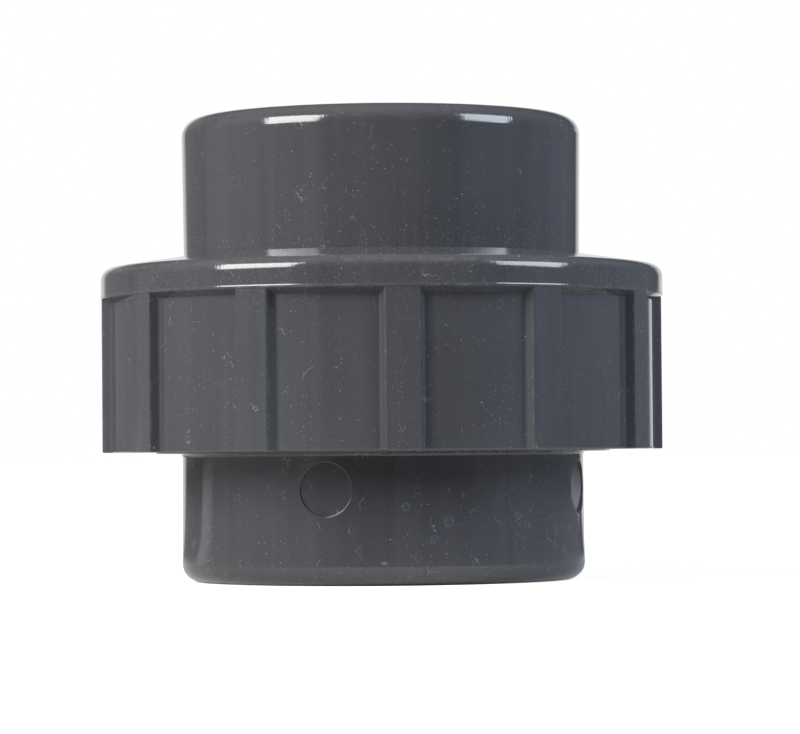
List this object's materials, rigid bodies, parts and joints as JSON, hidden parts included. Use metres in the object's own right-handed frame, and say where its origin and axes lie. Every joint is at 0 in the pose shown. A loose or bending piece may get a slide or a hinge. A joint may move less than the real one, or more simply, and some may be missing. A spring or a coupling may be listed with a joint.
{
  "type": "pipe union",
  "caption": "Round plastic pipe union: two plain sockets joined by a ribbed screw nut over an O-ring face seal.",
  "frame": {"origin": "centre of the lower socket's mouth, on the surface that the fitting stands on", "axes": "+Z along the pipe, from the threaded body to the tail piece; -Y is the front; +X is to the right"},
  "size_m": [0.1058, 0.1058, 0.0869],
  "materials": {
    "body_plastic": "semi-gloss moulded",
    "tail_plastic": "semi-gloss moulded",
    "nut_plastic": "semi-gloss moulded",
    "seal_rubber": "matte"
  },
  "bodies": {
    "threaded_body": {"threaded_body": "body_plastic", "o_ring": "seal_rubber"},
    "tail_piece": {"tail_piece": "tail_plastic"},
    "union_nut": {"union_nut": "nut_plastic"}
  },
  "joints": [
    {"name": "tail_draw", "type": "slide", "parent": "threaded_body", "child": "tail_piece", "axis": [0, 0, 1], "range_m": [0, 0.0175]},
    {"name": "nut_turn", "type": "hinge", "parent": "tail_piece", "child": "union_nut", "pos_m": [0, 0, 0.0544], "axis": [0, 0, 1], "range_deg": [0, 1575]}
  ],
  "couplings": [
    {"joint": "tail_draw", "follows": "nut_turn", "m_per_rad": 0.00063662}
  ]
}
